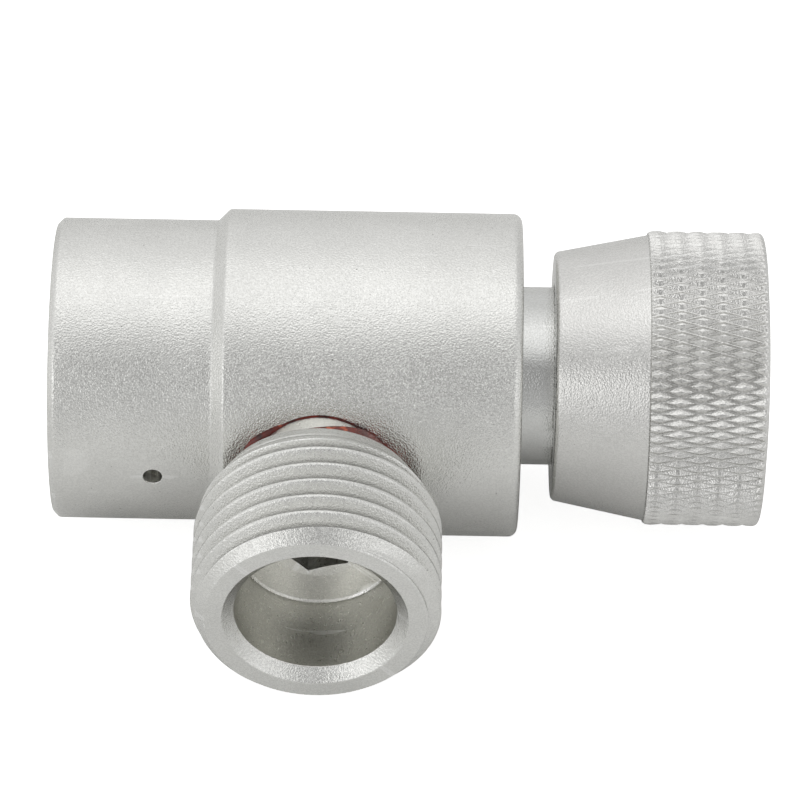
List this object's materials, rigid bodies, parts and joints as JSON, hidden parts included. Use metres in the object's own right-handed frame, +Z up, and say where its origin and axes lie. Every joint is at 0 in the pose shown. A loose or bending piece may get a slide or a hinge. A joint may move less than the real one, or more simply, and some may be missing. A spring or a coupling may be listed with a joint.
{
  "type": "gas cylinder adapter valve",
  "caption": "On/off adapter valve for a small gas cylinder: threaded socket, plunger pin, knurled screw knob and a male threaded side outlet.",
  "frame": {"origin": "centre of the socket's mouth, on the main axis", "axes": "+X along the main axis towards the knob, -Y out of the side outlet, +Z up with the part lying on its side"},
  "size_m": [0.0611, 0.0432, 0.028],
  "materials": {
    "anodised_body": "bead-blasted, silver anodised",
    "anodised_outlet": "bead-blasted, silver anodised, smoother in the bore",
    "anodised_bonnet": "fine turned, silver anodised",
    "anodised_knob": "bead-blasted, silver anodised, knurled rim",
    "white_seal": "smooth",
    "brass": "turned",
    "red_sealant": "glossy cured resin",
    "rubber_rings": "matt",
    "stainless": "turned",
    "spring_steel": "blackened"
  },
  "bodies": {
    "housing": {"valve_body": "anodised_body", "cylinder_seal": "white_seal", "pin_guide": "brass", "outlet_nipple": "anodised_outlet", "nipple_sealant": "red_sealant", "bonnet": "anodised_bonnet", "bonnet_o_ring": "rubber_rings", "return_spring": "stainless"},
    "plunger": {"push_pin": "stainless", "spring_washer": "stainless", "pin_clip": "spring_steel"},
    "knob_set": {"spindle": "stainless", "spindle_o_rings": "rubber_rings", "backup_rings": "white_seal", "thrust_washer": "white_seal", "knob": "anodised_knob", "knob_washer": "stainless", "lock_washer": "spring_steel", "knob_screw": "spring_steel", "knob_cap": "anodised_knob"}
  },
  "joints": [
    {"name": "pin_travel", "type": "slide", "parent": "housing", "child": "plunger", "axis": [1, 0, 0], "range_m": [-0.0024, 0.0006], "deforming": ["return_spring"]},
    {"name": "knob_turn", "type": "hinge", "parent": "plunger", "child": "knob_set", "pos_m": [0, 0, 0], "axis": [1, 0, 0], "range_deg": [-691.5, 173]}
  ],
  "couplings": [
    {"joint": "knob_turn", "follows": "pin_travel", "rad_per_m": 5026.5}
  ]
}
